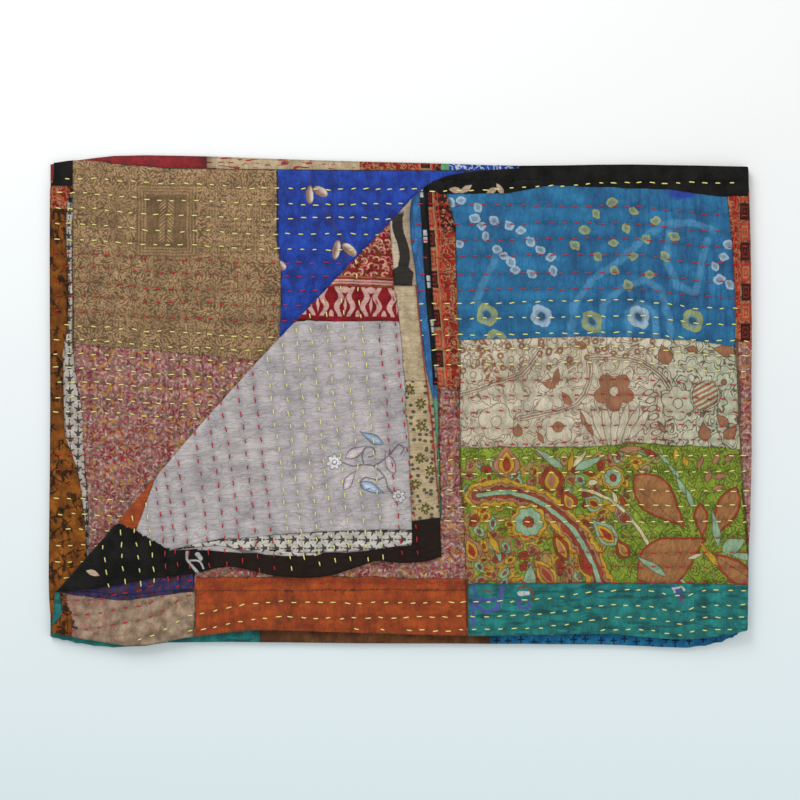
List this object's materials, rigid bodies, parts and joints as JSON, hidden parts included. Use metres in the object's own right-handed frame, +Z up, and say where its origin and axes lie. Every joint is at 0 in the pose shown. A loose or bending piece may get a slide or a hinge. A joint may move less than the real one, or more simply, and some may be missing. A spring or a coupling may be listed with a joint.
{
  "type": "patchwork throw",
  "caption": "Patchwork throw of sewn-together printed cloths with rows of running stitch, folded flat with a corner turned back.",
  "frame": {"origin": "on the surface that the folded throw lies on, under the middle of its box", "axes": "+X along the long side of the folded throw, towards its side fold; +Y towards its upper hems; +Z up, away from the surface"},
  "size_m": [1.1132, 0.781, 0.0215],
  "materials": {
    "patchwork_cloth": "matt woven cotton and dull silk"
  },
  "bodies": {
    "root": {"throw": "patchwork_cloth"}
  },
  "joints": []
}
